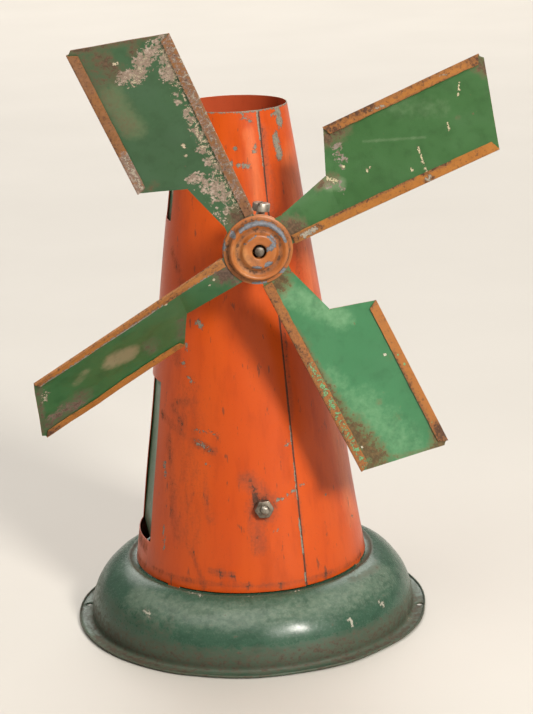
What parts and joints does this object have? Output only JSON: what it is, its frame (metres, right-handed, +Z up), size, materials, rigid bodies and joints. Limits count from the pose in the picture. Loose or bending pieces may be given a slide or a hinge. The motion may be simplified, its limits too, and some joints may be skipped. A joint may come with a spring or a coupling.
{
  "type": "garden windmill",
  "caption": "Pressed-metal windmill ornament: tapered round tower on a domed base, with a rotor of pitched sails on a cross axle and a grooved cord wheel behind.",
  "frame": {"origin": "centre of the base flange's underside, on the surface that the windmill stands on", "axes": "+Z up along the tower's centre line; the rotor faces -Y; the doorway faces -X"},
  "size_m": [0.2258, 0.2091, 0.327],
  "materials": {
    "base_green_enamel": "aged gloss enamel",
    "tower_orange_enamel": "aged satin enamel",
    "panel_green_enamel": "aged satin enamel",
    "sail_green_enamel": "aged gloss enamel, ochre on the back",
    "hub_ochre_enamel": "chipped satin enamel",
    "aged_steel": "dull plated, stained",
    "axle_steel": "turned, oiled",
    "bearing_brass": "tarnished"
  },
  "bodies": {
    "stand": {"base_shell": "base_green_enamel", "tower_shell": "tower_orange_enamel", "door_panel": "panel_green_enamel", "window_panel": "panel_green_enamel", "tie_bolt": "aged_steel", "tie_nut": "aged_steel", "tie_spacer_tube": "aged_steel", "front_bearing": "bearing_brass", "rear_bearing": "bearing_brass"},
    "rotor": {"axle": "axle_steel", "front_washer": "bearing_brass", "rear_washer": "bearing_brass", "hub_face_disc": "hub_ochre_enamel", "hub_back_plate": "hub_ochre_enamel", "hub_collar": "aged_steel", "hub_set_screw": "aged_steel", "sail_upper_right": "sail_green_enamel", "sail_upper_left": "sail_green_enamel", "sail_lower_left": "sail_green_enamel", "sail_lower_right": "sail_green_enamel", "drive_wheel": "aged_steel", "wheel_set_screw": "aged_steel"}
  },
  "joints": [
    {"name": "rotor_spin", "type": "hinge", "parent": "stand", "child": "rotor", "pos_m": [0, -0.0742, 0.2162], "axis": [0, -1, 0], "continuous": true}
  ]
}
